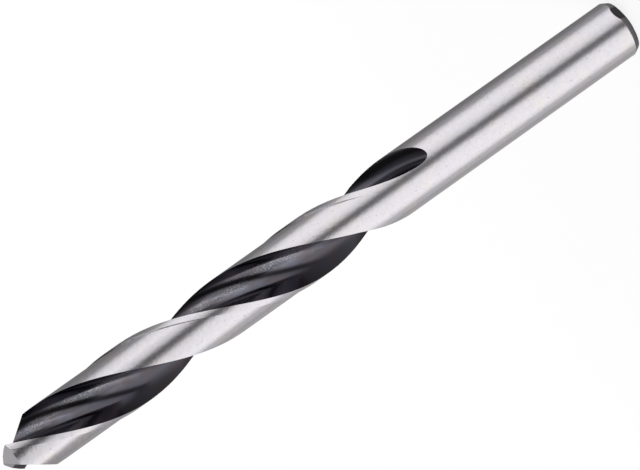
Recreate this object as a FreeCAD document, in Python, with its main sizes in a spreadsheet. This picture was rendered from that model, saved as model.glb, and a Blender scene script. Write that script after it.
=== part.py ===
import FreeCAD, Part
import math
import os
import Sketcher

# Twist drill bit in one piece, in millimetres. It stands on its shank end: the origin is the
# centre of that end, and +Z runs along the axis to the point.

# Driving sizes
SIZES = {
    "total_length": 151.0,
    "drill_diameter": 12.5,
    # The bit is this much thinner at the shank than at the point
    "back_taper": 0.05,
    # Shank end: a small flat, then a chamfer in two steps up to the shank's diameter
    "end_flat_radius": 3.9,
    "end_break_radius": 5.5,
    "end_break": 0.6,
    "end_chamfer": 1.9,
    # Two right-hand flutes, with a web between them that thickens towards the shank
    "flute_length": 101.3,
    "helix_lead": 84.5,
    "flute_opening": 93.5,
    "lip_offset": 0.79,
    "rake_hook": 7.0,
    "floor_start": 3.2,
    "web_growth": 0.25,
    "runout_length": 17.0,
    # Lands: a narrow margin at full diameter, and the rest ground lower
    "margin_width": 1.3,
    "margin_step": 0.32,
    "land_start": 14.8,
    "land_fade": 5.0,
    # Point: straight lips, flat flanks that fall away behind them
    "lip_angle": 135.0,
    "flank_fall": 14.5,
    "lip_depth": 1.2,
    # Notches that split the heel off each flank
    "notch_drop": 0.4,
    "notch_slope": 53.5,
    "notch_turn": 63.0,
    "notch_wall_turn": 9.0,
    "notch_wall_gap": 0.1,
    # Nick knocked into the edge of the shank end
    "nick_chord": 4.0,
    "nick_slope": 30.0,
    "nick_turn": 1.5,
}

# Sizes that follow from the driving ones
DERIVED = {
    "bit_radius": "drill_diameter / 2",
    "shank_radius": "(drill_diameter - back_taper) / 2",
    "flute_end": "total_length - flute_length",
    "full_level": "flute_end + runout_length",
    "lip_level": "total_length - lip_depth",
    "turn_rate": "360 / helix_lead",
    "margin_turn": "asin(lip_offset / bit_radius) / 1deg",
    "edge_across": "bit_radius * cos(margin_turn)",
    "heel_turn": "margin_turn + flute_opening",
    "heel_across": "bit_radius * cos(heel_turn)",
    "heel_up": "bit_radius * sin(heel_turn)",
    # The floor is an arc that starts as the rake face's tangent and ends at the heel
    "floor_start_up": "lip_offset - (edge_across - floor_start) * tan(rake_hook)",
    "floor_across": "heel_across - floor_start",
    "floor_up": "heel_up - floor_start_up",
    "floor_rise": "floor_up * cos(rake_hook) - floor_across * sin(rake_hook)",
    "floor_radius": "(floor_across * floor_across + floor_up * floor_up) / floor_rise / 2",
    "centre_across": "floor_start - floor_radius * sin(rake_hook)",
    "centre_up": "floor_start_up + floor_radius * cos(rake_hook)",
    "centre_off": "sqrt(centre_across * centre_across + centre_up * centre_up)",
    "flute_turn": "atan2(centre_up; centre_across) / 1deg",
    "floor_middle": "(rake_hook + 270 + atan2(heel_up - centre_up; heel_across - centre_across) / 1deg) / 2",
    "middle_across": "centre_across + floor_radius * cos(floor_middle)",
    "middle_up": "centre_up + floor_radius * sin(floor_middle)",
    # The flute's tool reaches this far outside the bit
    "reach": "bit_radius * 1.4",
    "reach_rake_up": "lip_offset + (reach - edge_across) * tan(rake_hook)",
    "reach_heel_across": "reach * cos(heel_turn)",
    "reach_heel_up": "reach * sin(heel_turn)",
    "reach_far_across": "reach * 1.4 * cos(flute_turn)",
    "reach_far_up": "reach * 1.4 * sin(flute_turn)",
    # How far the grinding wheel lifts over the run-out, and its radius
    "lift_end": "shank_radius - (centre_off - floor_radius) - web_growth",
    "wheel_radius": "(runout_length * runout_length + lift_end * lift_end) / lift_end / 2",
    # Lands, ground lower from land_start above the flutes' end, and the bar that becomes a margin:
    # it starts inside the body, stands out past the full diameter and runs on into the flute
    "land_level": "flute_end + land_start",
    "land_level_radius": "shank_radius + land_start * back_taper / 2 / flute_length",
    "land_radius": "bit_radius - margin_step",
    "land_end": "land_level + land_fade",
    "bar_inner": "land_radius - margin_step",
    "bar_outer": "bit_radius + margin_step",
    "bar_from": "margin_turn - margin_width / bit_radius * 180 / pi",
    "bar_to": "margin_turn + (margin_turn - bar_from) / 3",
    "bar_inner_from_across": "bar_inner * cos(bar_from)",
    "bar_inner_from_up": "bar_inner * sin(bar_from)",
    "bar_outer_from_across": "bar_outer * cos(bar_from)",
    "bar_outer_from_up": "bar_outer * sin(bar_from)",
    "bar_outer_to_across": "bar_outer * cos(bar_to)",
    "bar_outer_to_up": "bar_outer * sin(bar_to)",
    "bar_inner_to_across": "bar_inner * cos(bar_to)",
    "bar_inner_to_up": "bar_inner * sin(bar_to)",
    # Roof formed by the two flanks
    "lip_fall": "1 / tan(lip_angle / 2)",
    "back_fall": "tan(flank_fall)",
    "roof_fall": "sqrt(lip_fall * lip_fall + back_fall * back_fall)",
    "roof_turn": "0 - atan(back_fall / lip_fall) / 1deg",
    "roof_low": "total_length - reach * roof_fall",
    "roof_top": "total_length + lip_depth",
    # Notch: a falling floor and an upright wall beside the chisel edge
    "notch_fall": "tan(notch_slope)",
    "notch_rise": "atan(notch_fall * cos(notch_turn - notch_wall_turn)) / 1deg",
    "notch_side": "cos(notch_rise) * notch_fall * sin(notch_turn - notch_wall_turn) * reach * 2",
    "notch_reach": "reach * 2",
    "notch_level": "total_length - notch_drop - notch_fall * sin(notch_turn) * notch_wall_gap",
    # Nick: one flat face across the edge
    "nick_depth": "shank_radius - sqrt(shank_radius * shank_radius - nick_chord * nick_chord / 4)",
    "nick_level": "end_chamfer + nick_depth / tan(nick_slope)",
    "nick_inner": "shank_radius - nick_level * tan(nick_slope)",
}

doc = FreeCAD.newDocument("twist_drill")
book = doc.addObject("Spreadsheet::Sheet", "Sizes")
rows = [(name, str(number)) for name, number in SIZES.items()]
rows += [(name, "=" + rule) for name, rule in DERIVED.items()]
for number, (name, content) in enumerate(rows, 1):
    book.set("A%d" % number, name)
    book.set("B%d" % number, content)
    book.setAlias("B%d" % number, name)
doc.recompute()


# Value of a cell, or of its negative where the name has a minus sign
def size(name):
    number = float(book.get(name.lstrip("-")))
    return -number if name.startswith("-") else number


def rule(name):
    return "-Sizes." + name[1:] if name.startswith("-") else "Sizes." + name


body = doc.addObject("PartDesign::Body", "drill_bit")
body.Label = "drill_bit"
planes = {feature.Role: feature for feature in body.Origin.OriginFeatures}


def new_sketch(name, plane):
    sketch = body.newObject("Sketcher::SketchObject", name)
    sketch.AttachmentSupport = [(planes[plane], "")]
    sketch.MapMode = "FlatFace"
    return sketch


# Bind one end of an edge to a cell, or to the axis where the name is None
def bind_end(sketch, edge, end, across, up):
    for kind, axis, name in (("DistanceX", -2, across), ("DistanceY", -1, up)):
        if name is None:
            sketch.addConstraint(Sketcher.Constraint("PointOnObject", edge, end, axis))
        else:
            mark = sketch.addConstraint(Sketcher.Constraint(kind, -1, 1, edge, end, size(name)))
            sketch.setExpression("Constraints[%d]" % mark, rule(name))


# Draw a closed outline through corners given by cell names, counter-clockwise. bends gives the
# radius cell of each edge that is an arc.
def draw(sketch, corners, bends=None):
    bends = bends or {}
    spots = [FreeCAD.Vector(size(a) if a else 0, size(b) if b else 0, 0) for a, b in corners]
    for index, start in enumerate(spots):
        stop = spots[(index + 1) % len(spots)]
        if index not in bends:
            sketch.addGeometry(Part.LineSegment(start, stop), False)
            continue
        radius = size(bends[index])
        half = (stop - start) * 0.5
        inward = FreeCAD.Vector(-half.y, half.x, 0).normalize()
        centre = start + half + inward * math.sqrt(radius * radius - half.Length * half.Length)
        circle = Part.Circle(centre, FreeCAD.Vector(0, 0, 1), radius)
        begin, finish = (math.atan2(spot.y - centre.y, spot.x - centre.x) for spot in (start, stop))
        finish += 2 * math.pi if finish < begin else 0
        edge = sketch.addGeometry(Part.ArcOfCircle(circle, begin, finish), False)
        mark = sketch.addConstraint(Sketcher.Constraint("Radius", edge, radius))
        sketch.setExpression("Constraints[%d]" % mark, rule(bends[index]))
    for index, (across, up) in enumerate(corners):
        before = index - 1 if index else len(corners) - 1
        sketch.addConstraint(Sketcher.Constraint("Coincident", before, 2, index, 1))
        bind_end(sketch, index, 1, across, up)


# Two of the same cut, opposite each other
def pair(name, cut):
    pattern = body.newObject("PartDesign::PolarPattern", name)
    pattern.Originals = [cut]
    pattern.Axis = (planes["Z_Axis"], [""])
    pattern.Angle = 360
    pattern.Occurrences = 2
    pattern.Refine = False
    body.Tip = pattern
    doc.recompute()


# Loft through a row of equal sections that climb the helix, each moved away from the axis
def helical_loft(kind, name, corners, bends, turn, stations):
    sections = []
    for number, (level, lift) in enumerate(stations):
        sketch = new_sketch("%s_section_%d" % (name, number), "XY_Plane")
        twist = "(%s - Sizes.lip_level) * Sizes.turn_rate" % level
        sketch.setExpression("AttachmentOffset.Rotation.Angle", twist)
        direction = "%s + %s" % (twist, rule(turn))
        sketch.setExpression("AttachmentOffset.Base.x", "(%s) * cos(%s)" % (lift, direction))
        sketch.setExpression("AttachmentOffset.Base.y", "(%s) * sin(%s)" % (lift, direction))
        sketch.setExpression("AttachmentOffset.Base.z", level)
        draw(sketch, corners, bends)
        sections.append(sketch)
    doc.recompute()
    loft = body.newObject("PartDesign::" + kind, name)
    loft.Profile = sections[0]
    loft.Sections = [(sketch, [""]) for sketch in sections[1:]]
    loft.Refine = False
    doc.recompute()
    return loft


# Levels of the sections above a given one, at most 20 degrees of twist apart
def climb(name):
    steps = math.ceil((size("roof_top") - size(name)) / (size("helix_lead") / 18))
    span = "(Sizes.roof_top - %s) / %d" % (rule(name), steps)
    return ["%s + %d * %s" % (rule(name), step, span) for step in range(1, steps + 1)]


# Turned blank: a plain shank, a body that widens a little towards the point, and the lower
# diameter of the lands above it
profile = new_sketch("blank_profile", "XZ_Plane")
profile.AttachmentOffset = FreeCAD.Placement(FreeCAD.Vector(), FreeCAD.Rotation(FreeCAD.Vector(0, 1, 0), 40))
blank_corners = [(None, None), ("end_flat_radius", None), ("end_break_radius", "end_break"),
                 ("shank_radius", "end_chamfer"), ("shank_radius", "flute_end"),
                 ("land_level_radius", "land_level"), ("land_radius", "land_end"),
                 ("land_radius", "total_length"), (None, "total_length")]
draw(profile, blank_corners)
blank = body.newObject("PartDesign::Revolution", "blank")
blank.Profile = profile
blank.ReferenceAxis = (profile, ["V_Axis"])
blank.Angle = 360
blank.Refine = False
doc.recompute()
blank_volume = body.Shape.Volume

# Margins: two helical bars, turned down to the full diameter
bar_corners = [("bar_inner_from_across", "bar_inner_from_up"), ("bar_outer_from_across", "bar_outer_from_up"),
               ("bar_outer_to_across", "bar_outer_to_up"), ("bar_inner_to_across", "bar_inner_to_up")]
stations = [(level, "0") for level in [rule("land_level")] + climb("land_level")]
margin = helical_loft("AdditiveLoft", "margin", bar_corners, {}, "margin_turn", stations)
pair("margins", margin)
bar_volume = body.Shape.Volume
ring = new_sketch("margin_trim_profile", "XZ_Plane")
ring.AttachmentOffset = profile.AttachmentOffset
ring_corners = [("land_level_radius", "land_level"), ("reach", "land_level"), ("reach", "roof_top"),
                ("bit_radius", "roof_top")]
draw(ring, ring_corners)
trim = body.newObject("PartDesign::Groove", "margin_trim")
trim.Profile = ring
trim.ReferenceAxis = (ring, ["V_Axis"])
trim.Angle = 360
trim.Refine = False
doc.recompute()
margin_volume = body.Shape.Volume

# Flutes: a flat rake face, a hollow floor up to the heel, and a run-out where the wheel lifts
# away from the axis
flute_corners = [("floor_start", "floor_start_up"), ("reach", "reach_rake_up"),
                 ("reach_far_across", "reach_far_up"), ("reach_heel_across", "reach_heel_up"),
                 ("heel_across", "heel_up"), ("middle_across", "middle_up")]
RUNOUT_STEPS = 5
stations = []
for step in range(-1, RUNOUT_STEPS + 1):
    left = "Sizes.runout_length * %d / %d" % (RUNOUT_STEPS - step, RUNOUT_STEPS)
    level = "Sizes.full_level - " + left
    rise = "Sizes.wheel_radius - sqrt(Sizes.wheel_radius ^ 2 - (%s) ^ 2)" % left
    stations.append((level, rise + " + Sizes.web_growth"))
for level in climb("full_level"):
    growth = "Sizes.web_growth * (Sizes.roof_top - (%s)) / (Sizes.roof_top - Sizes.full_level)" % level
    stations.append((level, growth))
flute = helical_loft("SubtractiveLoft", "flute", flute_corners, {4: "floor_radius", 5: "floor_radius"}, "flute_turn", stations)
pair("flutes", flute)
flute_volume = body.Shape.Volume

# Flanks: one roof over the point, whose ridge is the chisel edge
roof = new_sketch("flank_profile", "XZ_Plane")
roof.AttachmentOffset = FreeCAD.Placement(FreeCAD.Vector(), FreeCAD.Rotation(FreeCAD.Vector(0, 1, 0), 1))
roof.setExpression("AttachmentOffset.Rotation.Angle", "Sizes.roof_turn")
roof_corners = [(None, "total_length"), ("reach", "roof_low"), ("reach", "roof_top"),
                ("-reach", "roof_top"), ("-reach", "roof_low")]
draw(roof, roof_corners)
doc.recompute()
flanks = body.newObject("PartDesign::Pocket", "flanks")
flanks.Profile = roof
flanks.Midplane = True
flanks.setExpression("Length", "Sizes.reach * 4")
doc.recompute()
flank_volume = body.Shape.Volume

# Notches: each floor falls towards the heel, and its wall stands along the chisel edge
split = new_sketch("notch_profile", "XY_Plane")
lean = FreeCAD.Rotation(FreeCAD.Vector(1, 0, 0), 90 - size("notch_rise"))
swing = FreeCAD.Rotation(FreeCAD.Vector(0, 0, 1), 90 + size("notch_wall_turn"))
valley = FreeCAD.Vector(0, -size("notch_wall_gap"), size("notch_level"))
split.AttachmentOffset = FreeCAD.Placement(valley, swing * lean)
notch_corners = [(None, None), (None, "notch_reach"), ("-notch_reach", "notch_reach"),
                 ("-notch_reach", "-notch_side")]
draw(split, notch_corners)
doc.recompute()
notch = body.newObject("PartDesign::Pocket", "notch")
notch.Profile = split
notch.Midplane = True
notch.setExpression("Length", "Sizes.reach * 6")
doc.recompute()
pair("notches", notch)
notch_volume = body.Shape.Volume

# Nick across the edge of the shank end
scar = new_sketch("nick_profile", "XZ_Plane")
scar.AttachmentOffset = FreeCAD.Placement(FreeCAD.Vector(), FreeCAD.Rotation(FreeCAD.Vector(0, 1, 0), 1))
scar.setExpression("AttachmentOffset.Rotation.Angle", "Sizes.nick_turn")
scar_corners = [("nick_inner", None), ("reach", None), ("reach", "nick_level"), ("shank_radius", "nick_level")]
draw(scar, scar_corners)
doc.recompute()
nick = body.newObject("PartDesign::Pocket", "nick")
nick.Profile = scar
nick.Midplane = True
nick.setExpression("Length", "Sizes.bit_radius * 2")
body.Tip = nick
doc.recompute()
nick_volume = body.Shape.Volume

# The bars have to add something and every cut has to take something away
assert bar_volume > blank_volume, "the margins added nothing"
volumes = [bar_volume, margin_volume, flute_volume, flank_volume, notch_volume, nick_volume]
print("volumes", [round(volume, 1) for volume in volumes])
for before, after in zip(volumes, volumes[1:]):
    assert after < before, "a cut took nothing away"
for item in doc.Objects:
    assert "Invalid" not in item.State and "Error" not in item.State, item.Name
shape = body.Shape
assert not shape.isNull() and shape.isValid() and len(shape.Solids) == 1, "not one valid solid"

os.makedirs("parts", exist_ok=True)
shape.exportStep("parts/%s.step" % body.Label)
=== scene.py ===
import math

import bpy
import numpy as np
from mathutils import Matrix, Vector


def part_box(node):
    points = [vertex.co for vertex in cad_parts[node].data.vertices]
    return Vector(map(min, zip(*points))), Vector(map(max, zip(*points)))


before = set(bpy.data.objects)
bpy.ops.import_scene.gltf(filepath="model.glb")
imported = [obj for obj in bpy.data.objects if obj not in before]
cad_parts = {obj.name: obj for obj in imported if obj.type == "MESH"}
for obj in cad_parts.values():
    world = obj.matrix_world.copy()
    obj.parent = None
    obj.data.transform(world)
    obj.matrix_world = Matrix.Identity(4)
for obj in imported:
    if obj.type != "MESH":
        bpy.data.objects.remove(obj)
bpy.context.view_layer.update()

MM = 0.001
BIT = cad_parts["drill_bit"]
LOW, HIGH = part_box("drill_bit")

# Sizes of the bit in millimetres, as in the part's source
TOTAL_LENGTH = (HIGH.z - LOW.z) / MM
BIT_RADIUS = 6.25
SHANK_RADIUS = 6.225
END_FLAT_RADIUS = 3.9
END_BREAK_RADIUS = 5.5
END_BREAK = 0.6
END_CHAMFER = 1.9
FLUTE_LENGTH = 101.3
FLUTE_END = TOTAL_LENGTH - FLUTE_LENGTH
RUNOUT_LENGTH = 17.0
FULL_LEVEL = FLUTE_END + RUNOUT_LENGTH
MARGIN_WIDTH = 1.3
MARGIN_STEP = 0.32
LAND_START = 14.8
LAND_FADE = 5.0
LAND_RADIUS = BIT_RADIUS - MARGIN_STEP
LAND_LEVEL = FLUTE_END + LAND_START
LIP_DEPTH = 1.2
LIP_LEVEL = TOTAL_LENGTH - LIP_DEPTH
ROOF_TOP = TOTAL_LENGTH + LIP_DEPTH
HELIX_LEAD = 84.5
TURN_RATE = 2 * math.pi / HELIX_LEAD
FLUTE_OPENING = math.radians(93.5)
LIP_OFFSET = 0.79
RAKE_HOOK = math.radians(7.0)
FLOOR_START = 3.2
WEB_GROWTH = 0.25

# Reach of the nick, the flanks and the notches' walls, in millimetres
NICK_TOP = 2.5
FLANK_HEIGHT = 9.0
NOTCH_HEIGHT = 2.3
NOTCH_RADIUS = 2.6

# Camera, as fitted to the photograph: distances in millimetres, offsets in pixels, turns in radians
PHOTO_WIDTH = 640
CAMERA_DEPTH = 400.0
CAMERA_TILT = 0.1419
CAMERA_ROLL = 0.6172
CAMERA_FOCUS = 2034.0
CAMERA_AZIMUTH = math.radians(-26.8)
CAMERA_SENSOR = 36.0
CAMERA_NEAR = 10.0
CAMERA_FAR = 20000.0
AIM_LEVEL = 75.5
AIM_RIGHT = 2.22
AIM_DOWN = 3.60

# Floor: its half width and the distances where it starts and ends turning white, in metres, and
# the light that it gives off towards the camera alone
FLOOR_HALF = 3.0
FLOOR_FADE_START = 0.05
FLOOR_FADE_END = 0.30
FLOOR_GLOW = 0.76

WHITE = (1, 1, 1, 1)


# Flute cross-section in its own turning frame: a straight rake face and an arc up to the heel
MARGIN_TURN = math.asin(LIP_OFFSET / BIT_RADIUS)
STEP_TURN = MARGIN_TURN - MARGIN_WIDTH / BIT_RADIUS
HEEL_TURN = MARGIN_TURN + FLUTE_OPENING
RAKE_WAY = np.array([math.cos(RAKE_HOOK), math.sin(RAKE_HOOK)])
RAKE_NORMAL = np.array([-RAKE_WAY[1], RAKE_WAY[0]])
RAKE_EDGE = np.array([BIT_RADIUS * math.cos(MARGIN_TURN), LIP_OFFSET])
RAKE_START = RAKE_EDGE - RAKE_WAY * (RAKE_EDGE[0] - FLOOR_START) / RAKE_WAY[0]
HEEL = BIT_RADIUS * np.array([math.cos(HEEL_TURN), math.sin(HEEL_TURN)])
FLOOR_RADIUS = (HEEL - RAKE_START) @ (HEEL - RAKE_START) / ((HEEL - RAKE_START) @ RAKE_NORMAL) / 2
FLOOR_CENTRE = RAKE_START + FLOOR_RADIUS * RAKE_NORMAL
CENTRE_OFF = np.hypot(*FLOOR_CENTRE)
LIFT_WAY = FLOOR_CENTRE / CENTRE_OFF
LIFT_END = SHANK_RADIUS - (CENTRE_OFF - FLOOR_RADIUS) - WEB_GROWTH
WHEEL_RADIUS = (RUNOUT_LENGTH ** 2 + LIFT_END ** 2) / LIFT_END / 2
# The wheel's arc is followed to this many times the run-out's length
WHEEL_REACH = 1.3


# How far the flute is moved out from the axis at a level, and how fast that changes with it
def flute_lift(level):
    left = np.clip(FULL_LEVEL - level, 0, RUNOUT_LENGTH * WHEEL_REACH)
    root = np.sqrt(WHEEL_RADIUS ** 2 - left ** 2)
    above = np.maximum(level - FULL_LEVEL, 0)
    slope = WEB_GROWTH / (ROOF_TOP - FULL_LEVEL)
    lift = WHEEL_RADIUS - root + WEB_GROWTH - slope * above
    return lift, -left / root - np.where(above > 0, slope, 0)


# Points or directions across the axis, turned back by the helix's turn at their level, or on by it
def turned_back(across, cos, sin):
    return np.stack([cos * across[:, 0] + sin * across[:, 1], cos * across[:, 1] - sin * across[:, 0]], 1)


def turned_on(across, cos, sin):
    return turned_back(across, cos, -sin)


# Exact normals of the flutes at points given in millimetres, and how far the points lie off them
def flute_normals(points):
    turn = (points[:, 2] - LIP_LEVEL) * TURN_RATE
    cos, sin = np.cos(turn), np.sin(turn)
    flat = turned_back(points[:, :2], cos, sin)
    lift, rise = flute_lift(points[:, 2])
    best = np.full(len(points), np.inf)
    result = np.zeros_like(points)
    for side in (1, -1):
        local = flat * side
        spot = local - lift[:, None] * LIFT_WAY
        arm = FLOOR_CENTRE - spot
        reach = np.linalg.norm(arm, axis=1)
        normal = arm / reach[:, None]
        gap = np.abs(reach - FLOOR_RADIUS)
        on_rake = (spot - RAKE_START) @ RAKE_WAY > 0
        normal[on_rake] = RAKE_NORMAL
        gap = np.where(on_rake, np.abs((spot - RAKE_START) @ RAKE_NORMAL), gap)
        swing = np.stack([-local[:, 1], local[:, 0]], 1)
        along = np.sum(normal * (-TURN_RATE * swing - rise[:, None] * LIFT_WAY), 1)
        full = np.concatenate([turned_on(normal, cos, sin) * side, along[:, None]], 1)
        nearer = gap < best
        result[nearer] = full[nearer]
        best = np.minimum(best, gap)
    return result / np.linalg.norm(result, axis=1)[:, None], best


# How far a corner may lie off the radius of its turned surface, a face's middle off the flutes, and
# a corner off the foot of the margin's step, in millimetres and radians
RADIUS_SLACK = 0.012
FLUTE_SLACK = 0.3
STEP_SLACK = 0.03

# Limits on the upright part of a face's normal: under the first on the turned surfaces, over the
# second on the flanks and under the third on the notches' walls. The chamfer faces down, and
# outwards too, by more than the fourth.
TURNED_RISE = 0.5
FLANK_RISE = 0.5
NOTCH_RISE = 0.02
CHAMFER_RISE = 0.1

# Beside the margin's step the ground land hollows up towards it by this angle, and the step itself
# shines mostly as the land does
LAND_LEAN = math.radians(5.0)
STEP_SHARE = 0.92

# Numbers of the materials, in the order in which the bit takes them
GROUND, BLACK, SCALED = 0, 1, 2


# Places or directions of a mesh's elements, with a row for each
def read_vectors(elements, name):
    values = np.zeros(len(elements) * 3, np.float32)
    elements.foreach_get(name, values)
    return values.reshape(-1, 3).astype(float)


# Whole numbers of a mesh's elements, one for each
def read_numbers(elements, name):
    numbers = np.zeros(len(elements), np.int32)
    elements.foreach_get(name, numbers)
    return numbers


# Radii of the margins and the shank, and of the ground lands, at each corner, and how far the land
# has gone down there from 0 to 1
def turned_radii(spots):
    taper = np.clip((spots[:, 2] - FLUTE_END) / FLUTE_LENGTH, 0, 1)
    full = SHANK_RADIUS + (BIT_RADIUS - SHANK_RADIUS) * taper
    fade = np.clip((spots[:, 2] - LAND_LEVEL) / LAND_FADE, 0, 1)
    return full, full * (1 - fade) + LAND_RADIUS * fade, fade


# Normals of the chamfer, which bends smoothly from the end's flat up to the shank
def chamfer_normals(spots, radial):
    first = math.atan2(END_BREAK_RADIUS - END_FLAT_RADIUS, END_BREAK)
    last = math.atan2(SHANK_RADIUS - END_BREAK_RADIUS, END_CHAMFER - END_BREAK)
    share = np.clip(spots[:, 2] / END_CHAMFER, 0, 1)
    lean = first * (1 - share) + last * share
    normals = radial * np.cos(lean)[:, None]
    normals[:, 2] = -np.sin(lean)
    return normals


# Sort the faces by the surface that they belong to
def sort_faces(starts, spots, centres, flats):
    level, rise = centres[:, 2], flats[:, 2]
    radius = np.hypot(centres[:, 0], centres[:, 1])
    outward = np.sum(flats[:, :2] * centres[:, :2], 1)
    # A face belongs to a turned surface when all its corners lie at that surface's radius
    full, land = turned_radii(spots)[:2]
    corner_radius = np.hypot(spots[:, 0], spots[:, 1])
    all_full = np.logical_and.reduceat(np.abs(corner_radius - full) < RADIUS_SLACK, starts)
    all_land = np.logical_and.reduceat(np.abs(corner_radius - land) < RADIUS_SLACK, starts)
    # Where the flute's rim gives all three corners, the nearer of the two surfaces decides
    face_full = np.maximum.reduceat(full, starts)
    face_land = np.maximum.reduceat(land, starts)
    turned_gap = np.abs(np.where(all_full, face_full, face_land) - radius)
    flute_gap = flute_normals(centres)[1]
    turned = (all_full | all_land) & (turned_gap < flute_gap) & (np.abs(rise) < TURNED_RISE)
    low_end = (level < NICK_TOP) & ~turned
    chamfer = (level < END_CHAMFER) & (rise < -CHAMFER_RISE) & (outward > CHAMFER_RISE * radius)
    turned &= ~chamfer
    flanks = (level > TOTAL_LENGTH - FLANK_HEIGHT) & (rise > FLANK_RISE)
    notches = (level > TOTAL_LENGTH - NOTCH_HEIGHT) & (radius < NOTCH_RADIUS) & (np.abs(rise) < NOTCH_RISE)
    others = ~(low_end | turned | flanks | notches)
    flute = others & (flute_gap < FLUTE_SLACK)
    return {"turned": turned, "land": all_land, "flute": flute, "step": others & ~flute, "chamfer": chamfer}


# Give the faces their materials and exact normals
def finish_surfaces(mesh):
    starts = read_numbers(mesh.polygons, "loop_start")
    corners = read_numbers(mesh.loops, "vertex_index")
    spots = read_vectors(mesh.vertices, "co")[corners] / MM
    centres = read_vectors(mesh.polygons, "center") / MM
    flats = read_vectors(mesh.polygons, "normal")
    faces = sort_faces(starts, spots, centres, flats)
    kinds = np.full(len(starts), GROUND, np.int32)
    kinds[faces["flute"]] = BLACK
    kinds[faces["chamfer"]] = SCALED
    mesh.polygons.foreach_set("material_index", kinds)
    owner = np.searchsorted(starts, np.arange(len(corners)), side="right") - 1
    turn = np.arctan2(spots[:, 1], spots[:, 0])
    no_rise = np.zeros(len(corners))
    radial = np.stack([np.cos(turn), np.sin(turn), no_rise], 1)
    half = math.pi / 2
    from_step = (turn - (spots[:, 2] - LIP_LEVEL) * TURN_RATE - STEP_TURN + half) % math.pi - half
    beside = faces["land"][owner] & (np.abs(from_step) < STEP_SLACK)
    leant = turn - np.where(beside, LAND_LEAN * turned_radii(spots)[2], 0)
    # The flat faces keep their own normals
    normals = flats[owner]
    rows = faces["turned"][owner]
    normals[rows] = np.stack([np.cos(leant), np.sin(leant), no_rise], 1)[rows]
    rows = faces["step"][owner]
    normals[rows] = radial[rows] * STEP_SHARE + normals[rows] * (1 - STEP_SHARE)
    rows = faces["flute"][owner]
    normals[rows] = flute_normals(spots[rows])[0]
    rows = faces["chamfer"][owner]
    normals[rows] = chamfer_normals(spots, radial)[rows]
    mesh.polygons.foreach_set("use_smooth", np.ones(len(starts), bool))
    mesh.normals_split_custom_set([tuple(normal) for normal in normals])


class Nodes:
    """Small helper that adds and links shader nodes."""

    def __init__(self, tree):
        self.tree = tree

    def add(self, kind, inputs=None, **settings):
        node = self.tree.nodes.new("ShaderNode" + kind)
        for name, setting in settings.items():
            setattr(node, name, setting)
        for key, content in (inputs or {}).items():
            self.feed(node.inputs[key], content)
        return node

    def feed(self, socket, content):
        if isinstance(content, bpy.types.NodeSocket):
            self.tree.links.new(content, socket)
        else:
            socket.default_value = content

    def math(self, operation, first, second=0.0, third=0.0):
        inputs = {0: first, 1: second, 2: third}
        return self.add("Math", inputs, operation=operation).outputs[0]

    # Value from low to high as the source goes from 0 to 1
    def between(self, source, low, high):
        return self.math("MULTIPLY_ADD", source, high - low, low)

    def vector(self, x=0.0, y=0.0, z=0.0):
        return self.add("CombineXYZ", {0: x, 1: y, 2: z}).outputs[0]

    def vector_math(self, operation, first, second, output=0):
        return self.add("VectorMath", {0: first, 1: second}, operation=operation).outputs[output]

    # Distance from the axis, from the three parts of a place
    def radius(self, parts):
        squares = [self.math("MULTIPLY", part, part) for part in (parts[0], parts[1])]
        return self.math("SQRT", self.math("ADD", *squares))

    def ramp(self, source, stops):
        node = self.add("ValToRGB", {0: source})
        ramp = node.color_ramp
        while len(ramp.elements) < len(stops):
            ramp.elements.new(0.5)
        for element, (place, shade) in zip(ramp.elements, stops):
            element.position = place
            element.color = (*shade, 1) if isinstance(shade, tuple) else (shade, shade, shade, 1)
        return node.outputs[0]

    def noise(self, vector, scale, detail=2.0, roughness=0.5):
        inputs = {"Vector": vector, "Scale": scale, "Detail": detail, "Roughness": roughness}
        return self.add("TexNoise", inputs).outputs["Fac"]

    def mix(self, share, first, second):
        node = self.add("Mix", data_type="RGBA")
        for place, content in ((0, share), (6, first), (7, second)):
            self.feed(node.inputs[place], content)
        return node.outputs[2]

    # Normals of a surface that a height from 0 to 1 raises, with the depth in millimetres
    def bump(self, height, strength, depth, under=None):
        inputs = {"Strength": strength, "Distance": depth * MM, "Height": height}
        if under is not None:
            inputs["Normal"] = under
        return self.add("Bump", inputs).outputs[0]

    def metal(self, colour, rough, normal):
        inputs = {"Base Color": colour, "Metallic": 1.0, "Roughness": rough, "Normal": normal}
        surface = self.add("BsdfPrincipled", inputs).outputs[0]
        self.add("OutputMaterial", {0: surface})


def new_material(name):
    material = bpy.data.materials.new(name)
    material.use_nodes = True
    material.node_tree.nodes.clear()
    return material, Nodes(material.node_tree)


# Object coordinates in millimetres, as a vector and apart
def object_place(nodes):
    place = nodes.add("TexCoord").outputs["Object"]
    scaled = nodes.add("VectorMath", {0: place, "Scale": 1 / MM}, operation="SCALE").outputs[0]
    parts = nodes.add("SeparateXYZ", {0: scaled}).outputs
    return scaled, parts


# Ground steel: fine rings from the grinding wheel, faint clouds and smudges, and small dark pits
STEEL_TINTS = [(0.3, (0.87, 0.845, 0.915)), (0.55, (0.885, 0.85, 0.885)), (0.72, (0.93, 0.865, 0.85))]
SMUDGE_SHADES = [(0.35, 0.95), (0.65, 1.0)]
PIT_SPOTS = [(0.0, 1.0), (0.25, 1.0), (0.31, 0.0)]
PIT_COLOUR = (0.25, 0.24, 0.25, 1)
PIT_SHARE = 0.35
RING_STRETCH = 0.12
RINGS_PER_MM = 9.0
RING_DEPTH = 0.02
SWELL_DEPTH = 0.1
STEEL_ROUGH = (0.14, 0.28)


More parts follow.
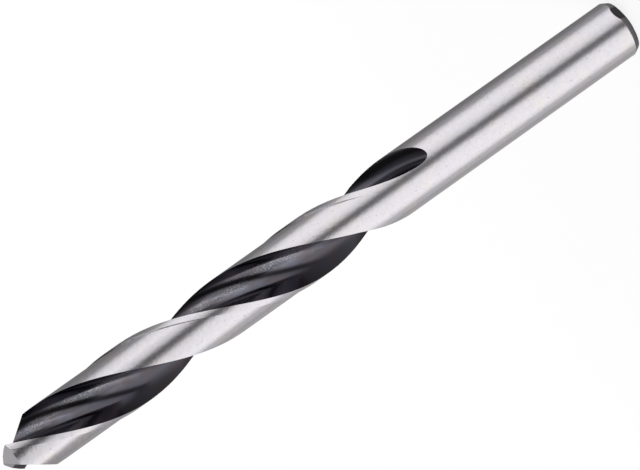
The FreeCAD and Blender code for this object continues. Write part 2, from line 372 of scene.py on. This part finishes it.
def ground_steel():
    material, nodes = new_material("ground_steel")
    place, parts = object_place(nodes)
    rings_at = nodes.vector(nodes.math("MULTIPLY", parts[0], RING_STRETCH),
                            nodes.math("MULTIPLY", parts[1], RING_STRETCH),
                            nodes.math("MULTIPLY", parts[2], RINGS_PER_MM))
    rings = nodes.noise(rings_at, 1.0, 3.0, 0.6)
    clouds = nodes.noise(place, 0.22, 3.0, 0.55)
    smudges = nodes.ramp(nodes.noise(place, 1.1, 4.0, 0.7), SMUDGE_SHADES)
    pits = nodes.ramp(nodes.noise(place, 2.4, 1.0), PIT_SPOTS)
    clean = nodes.vector_math("MULTIPLY", nodes.ramp(clouds, STEEL_TINTS), smudges)
    colour = nodes.mix(nodes.math("MULTIPLY", pits, PIT_SHARE), clean, PIT_COLOUR)
    rough = nodes.between(rings, *STEEL_ROUGH)
    swell = nodes.bump(nodes.noise(place, 0.9, 4.0, 0.7), 0.3, SWELL_DEPTH)
    nodes.metal(colour, rough, nodes.bump(rings, 0.2, RING_DEPTH, swell))
    return material


# Black oxide in the flutes: streaks along the helix, and bluish and brownish patches. The shades across the
# flute are partly the oxide's own dark colour and partly painted light: a lighter band towards the heel is
# a painted reflection, the darker edge at the heel is painted shade, and pale specks in that band are
# painted glints. The stops of the shades and the glint band run from the rake edge at 0 to the heel at 1,
# and those of the glint length run from the shank end at 0 to the point at 1.
OXIDE_AND_PAINTED_SHEEN = [(0.02, (0.10, 0.090, 0.105)), (0.25, (0.12, 0.110, 0.134)), (0.42, (0.125, 0.116, 0.139)),
                (0.58, (0.225, 0.210, 0.254)), (0.80, (0.235, 0.222, 0.270)), (0.90, (0.20, 0.186, 0.224)),
                (1.0, (0.15, 0.138, 0.165))]
OXIDE_TINTS = [(0.35, (1.0, 0.95, 0.88)), (0.62, (0.90, 0.97, 1.0))]
# Pale specks that are painted glints: their band across the flute, clumps, grains, length and colour
GLINT_BAND = [(0.55, 0.0), (0.68, 0.6), (0.80, 0.6), (0.88, 0.0)]
GLINT_CLUMPS = [(0.42, 0.25), (0.60, 1.0)]
GLINT_GRAINS = [(0.0, 0.0), (0.48, 0.0), (0.58, 1.0)]
GLINT_LENGTH = [(0.46, 0.0), (0.54, 1.0)]
GLINT_COLOUR = (0.80, 0.79, 0.80, 1)
STREAK_STRETCH = 0.12
STREAK_DEPTH = 0.03
PATCH_SHIFT = (-0.1, 0.1)
OXIDE_ROUGH = (0.08, 0.20)


def black_oxide_and_painted_sheen():
    material, nodes = new_material("black_oxide_and_painted_sheen")
    place, parts = object_place(nodes)
    radius = nodes.radius(parts)
    twist = nodes.math("MULTIPLY_ADD", parts[2], -TURN_RATE, LIP_LEVEL * TURN_RATE)
    turn = nodes.math("ADD", nodes.math("ARCTAN2", parts[1], parts[0]), twist)
    flat = nodes.vector(nodes.math("MULTIPLY", nodes.math("COSINE", turn), radius),
                        nodes.math("MULTIPLY", nodes.math("SINE", turn), radius))
    # Place across the flute, from the rake edge at 0 to the heel at 1
    chord = (HEEL - RAKE_EDGE) / ((HEEL - RAKE_EDGE) @ (HEEL - RAKE_EDGE))
    middle = float((RAKE_EDGE + HEEL) / 2 @ chord)
    side = nodes.math("SIGN", nodes.vector_math("DOT_PRODUCT", flat, (*LIFT_WAY, 0), "Value"))
    along_chord = nodes.vector_math("DOT_PRODUCT", flat, (*chord, 0), "Value")
    across = nodes.math("MULTIPLY_ADD", along_chord, side, 0.5 - middle)
    along = nodes.vector(z=nodes.math("MULTIPLY", parts[2], STREAK_STRETCH))
    streaks_at = nodes.vector_math("ADD", flat, along)
    streaks = nodes.noise(streaks_at, 2.2, 4.0, 0.6)
    patches = nodes.noise(place, 0.35, 2.0)
    spread = nodes.math("ADD", across, nodes.between(patches, *PATCH_SHIFT))
    tint = nodes.ramp(patches, OXIDE_TINTS)
    # Oxide colour with the painted reflection band and painted shade at the heel, across the flute
    oxide_and_sheen = nodes.vector_math("MULTIPLY", nodes.ramp(spread, OXIDE_AND_PAINTED_SHEEN), tint)
    # Pale specks that are painted glints, in the band towards the heel and towards the point
    grains = nodes.ramp(nodes.noise(place, 4.2, 3.0, 0.7), GLINT_GRAINS)
    clumps = nodes.ramp(nodes.noise(streaks_at, 0.9, 2.0), GLINT_CLUMPS)
    above_runout = nodes.ramp(nodes.math("MULTIPLY", parts[2], 1 / TOTAL_LENGTH), GLINT_LENGTH)
    glints = grains
    for limit in (nodes.ramp(spread, GLINT_BAND), clumps, above_runout):
        glints = nodes.math("MULTIPLY", glints, limit)
    colour = nodes.mix(glints, oxide_and_sheen, GLINT_COLOUR)
    rough = nodes.between(streaks, *OXIDE_ROUGH)
    nodes.metal(colour, rough, nodes.bump(streaks, 0.2, STREAK_DEPTH))
    return material


# Grey scale on the chamfer of the shank end, with painted shade that darkens the nick
SCALE_SHADES = [(0.35, (0.34, 0.325, 0.345)), (0.65, (0.52, 0.50, 0.525))]
NICK_SHADE_DEPTHS = [(0.06, 0.0), (0.14, 1.0)]
NICK_SHADE_COLOUR = (0.13, 0.125, 0.13, 1)
SCALE_DEPTH = 0.05
SCALE_ROUGH = (0.3, 0.6)


def end_scale():
    material, nodes = new_material("end_scale")
    place, parts = object_place(nodes)
    mottle = nodes.noise(place, 1.6, 4.0, 0.65)
    # The nick is where the surface lies inside both cones of the chamfer, and painted shade darkens it the
    # deeper it goes
    wide = (END_BREAK_RADIUS - END_FLAT_RADIUS) / END_BREAK
    steep = (SHANK_RADIUS - END_BREAK_RADIUS) / (END_CHAMFER - END_BREAK)
    low = nodes.math("MULTIPLY_ADD", parts[2], wide, END_FLAT_RADIUS)
    high = nodes.math("MULTIPLY_ADD", parts[2], steep, END_BREAK_RADIUS - steep * END_BREAK)
    inside = nodes.math("SUBTRACT", nodes.math("MINIMUM", low, high), nodes.radius(parts))
    colour = nodes.mix(nodes.ramp(inside, NICK_SHADE_DEPTHS), nodes.ramp(mottle, SCALE_SHADES), NICK_SHADE_COLOUR)
    rough = nodes.between(mottle, *SCALE_ROUGH)
    nodes.metal(colour, rough, nodes.bump(mottle, 0.3, SCALE_DEPTH))
    return material


# Studio round the bit: two bright sides with a dark slit between them towards the camera, and
# darker cloth behind. Stops are degrees from the camera's side, positive to its upper left, with
# one list for each height: from below, level, from above and from overhead.
BELOW = [(-180, 0.20), (-110, 0.25), (-85, 0.50), (-60, 0.38), (-20, 0.30), (30, 0.20), (75, 0.12),
         (95, 0.30)]
LEVEL = [(-180, 0.43), (-141, 0.40), (-123, 0.36), (-112, 0.52), (-98, 0.48), (-90, 0.75), (-80, 0.97),
         (-70, 1.0), (-40, 0.98), (-26, 0.94), (-18, 0.82), (-12, 0.48), (-6, 0.19), (0, 0.14), (8, 0.12),
         (13, 0.24), (19, 0.58), (27, 0.78), (40, 0.90), (58, 0.96), (72, 0.90), (86, 0.72), (93, 0.34),
         (110, 0.29), (124, 0.19), (150, 0.18)]
ABOVE = [(-180, 0.24), (-141, 0.27), (-111, 0.18), (-95, 0.24), (-88, 0.55), (-82, 1.0), (-68, 1.0),
         (-60, 0.75), (-46, 0.58), (-30, 0.50), (-22, 0.36), (-16, 0.05), (-9, 0.02), (5, 0.02), (9, 0.05),
         (15, 0.30), (23, 0.50), (38, 0.55), (43, 0.98), (51, 0.98), (56, 0.68), (68, 0.64), (78, 0.42),
         (86, 0.10), (111, 0.13), (141, 0.20)]
OVERHEAD = [(-180, 0.43), (-120, 0.25), (-75, 0.12), (-60, 0.30), (-35, 0.40), (-18, 0.12), (-8, 0.03),
            (28, 0.02), (60, 0.12), (110, 0.15), (150, 0.35)]
# Each list gives way to the next between two heights, from 0 straight below to 1 straight above
BLENDS = [(0.20, 0.31), (0.475, 0.545), (0.71, 0.80)]


def studio_world():
    world = bpy.data.worlds.new("studio")
    bpy.context.scene.world = world
    world.use_nodes = True
    world.node_tree.nodes.clear()
    nodes = Nodes(world.node_tree)
    parts = nodes.add("SeparateXYZ", {0: nodes.add("TexCoord").outputs["Generated"]}).outputs
    angle = nodes.math("SUBTRACT", nodes.math("ARCTAN2", parts[1], parts[0]), CAMERA_AZIMUTH)
    share = nodes.math("FRACT", nodes.math("MULTIPLY_ADD", angle, 0.5 / math.pi, 0.5))
    height = nodes.math("MULTIPLY_ADD", parts[2], 0.5, 0.5)
    rings = []
    for stops in (BELOW, LEVEL, ABOVE, OVERHEAD):
        rings.append(nodes.ramp(share, [(degrees / 360 + 0.5, shade) for degrees, shade in stops]))
    around = rings[0]
    for ring, (low, high) in zip(rings[1:], BLENDS):
        around = nodes.mix(nodes.ramp(height, [(low, 0.0), (high, 1.0)]), around, ring)
    to_camera = nodes.add("LightPath").outputs["Is Camera Ray"]
    seen = nodes.mix(to_camera, around, WHITE)
    shine = nodes.add("Background", {"Color": seen, "Strength": 1.0}).outputs[0]
    nodes.add("OutputWorld", {0: shine})


# Pale floor under the shank end, which turns to plain white away from the bit
def pale_floor():
    half, low = FLOOR_HALF, LOW.z
    rim = [(-half, -half, low), (half, -half, low), (half, half, low), (-half, half, low)]
    mesh = bpy.data.meshes.new("floor")
    mesh.from_pydata(rim, [], [(0, 1, 2, 3)])
    floor = bpy.data.objects.new("floor", mesh)
    bpy.context.scene.collection.objects.link(floor)
    material, nodes = new_material("pale_floor")
    place = nodes.add("TexCoord").outputs["Object"]
    distance = nodes.add("VectorMath", {0: place}, operation="LENGTH").outputs["Value"]
    far = nodes.ramp(distance, [(FLOOR_FADE_START, 0.0), (FLOOR_FADE_END, 1.0)])
    tone = nodes.ramp(nodes.noise(place, 60.0, 2.0), [(0.3, 0.86), (0.7, 0.88)])
    matt = nodes.add("BsdfDiffuse", {"Color": tone}).outputs[0]
    glow = nodes.add("Emission", {"Color": WHITE, "Strength": FLOOR_GLOW}).outputs[0]
    near = nodes.add("AddShader", {0: matt, 1: glow}).outputs[0]
    white = nodes.add("Emission", {"Color": WHITE, "Strength": 1.0}).outputs[0]
    seen = nodes.add("MixShader", {0: far, 1: near, 2: white}).outputs[0]
    to_camera = nodes.add("LightPath").outputs["Is Camera Ray"]
    both = nodes.add("MixShader", {0: to_camera, 1: matt, 2: seen}).outputs[0]
    nodes.add("OutputMaterial", {0: both})
    mesh.materials.append(material)
    floor.visible_glossy = False


# Camera where the photograph was taken from, turned so that the point comes to the lower left
def photo_camera():
    axis = Vector((-math.cos(CAMERA_ROLL) * math.cos(CAMERA_TILT),
                   math.sin(CAMERA_ROLL) * math.cos(CAMERA_TILT), -math.sin(CAMERA_TILT)))
    towards = Vector((0, 0, -1))
    near = (towards - axis * towards.dot(axis)).normalized()
    side = axis.cross(near)
    cos, sin = math.cos(CAMERA_AZIMUTH), math.sin(CAMERA_AZIMUTH)
    across = near * cos - side * sin
    other = near * sin + side * cos
    from_view = Matrix((across, other, axis))
    aim = Vector((AIM_RIGHT / CAMERA_FOCUS, AIM_DOWN / CAMERA_FOCUS, 1)) * CAMERA_DEPTH
    eye = Vector((0, 0, AIM_LEVEL)) - from_view @ aim
    flip = Matrix(((1, 0, 0), (0, -1, 0), (0, 0, -1)))
    data = bpy.data.cameras.new("camera")
    data.sensor_width = CAMERA_SENSOR
    data.lens = CAMERA_FOCUS / PHOTO_WIDTH * CAMERA_SENSOR
    data.clip_start = CAMERA_NEAR * MM
    data.clip_end = CAMERA_FAR * MM
    camera = bpy.data.objects.new("camera", data)
    camera.matrix_world = Matrix.Translation(eye * MM) @ (from_view @ flip).to_4x4()
    bpy.context.scene.collection.objects.link(camera)
    bpy.context.scene.camera = camera


bpy.context.scene.view_settings.view_transform = "Standard"
BIT.data.materials.clear()
for made in (ground_steel(), black_oxide_and_painted_sheen(), end_scale()):
    BIT.data.materials.append(made)
finish_surfaces(BIT.data)
studio_world()
pale_floor()
photo_camera()
